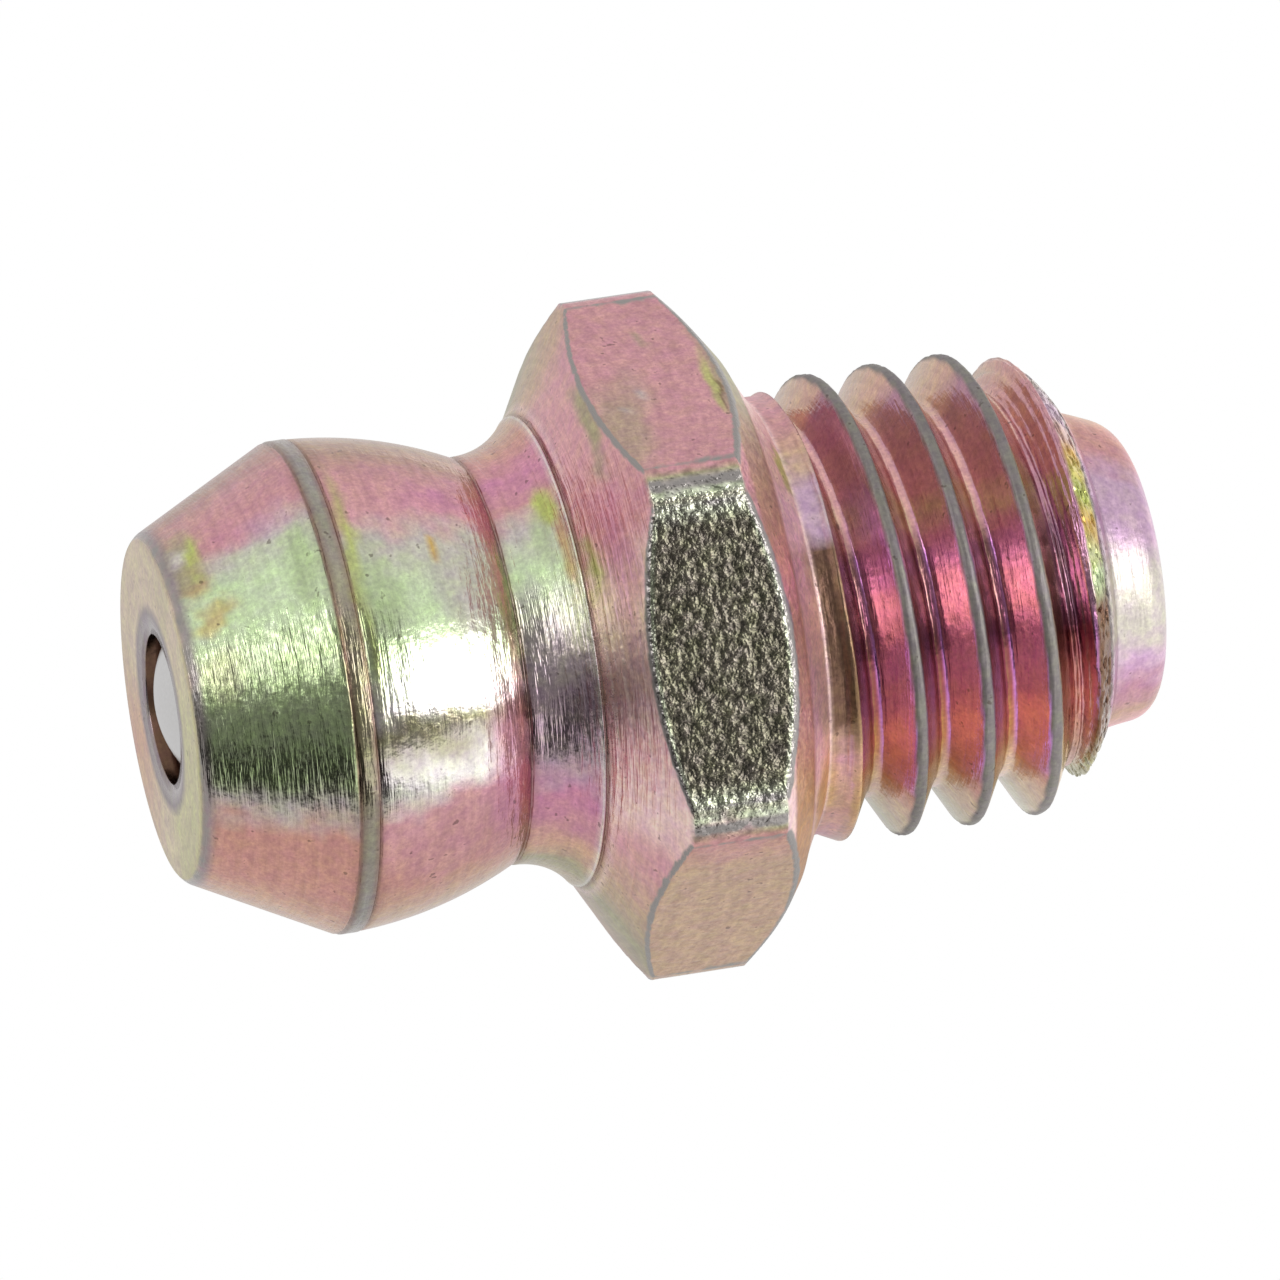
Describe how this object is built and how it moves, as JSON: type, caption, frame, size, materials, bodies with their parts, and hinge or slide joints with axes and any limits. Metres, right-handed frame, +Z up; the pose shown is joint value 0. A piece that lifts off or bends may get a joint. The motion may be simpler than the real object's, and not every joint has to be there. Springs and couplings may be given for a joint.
{
  "type": "grease nipple",
  "caption": "Straight hydraulic grease nipple: ridged head with a spring-loaded check ball, hexagon and short threaded shank.",
  "frame": {"origin": "on the axis, in the plane where the hexagon's rear chamfer meets its cone-shaped seat, at the root of the shank", "axes": "+X along the axis from the head towards the nose of the thread; +Z up, square to the flat that it lies on"},
  "size_m": [0.0132, 0.009, 0.008],
  "materials": {
    "passivated_zinc_plate": "turned steel with zinc plate and yellow chromate passivation, iridescent",
    "bearing_steel": "ground and polished",
    "spring_wire": "bright drawn"
  },
  "bodies": {
    "nipple": {"body": "passivated_zinc_plate", "spring": "spring_wire"},
    "ball": {"ball": "bearing_steel"}
  },
  "joints": [
    {"name": "ball_lift", "type": "slide", "parent": "nipple", "child": "ball", "axis": [1, 0, 0], "range_m": [0, 0.00515], "stiffness_N_per_m": 1400, "springref_m": -0.0012, "deforming": ["spring"]}
  ]
}
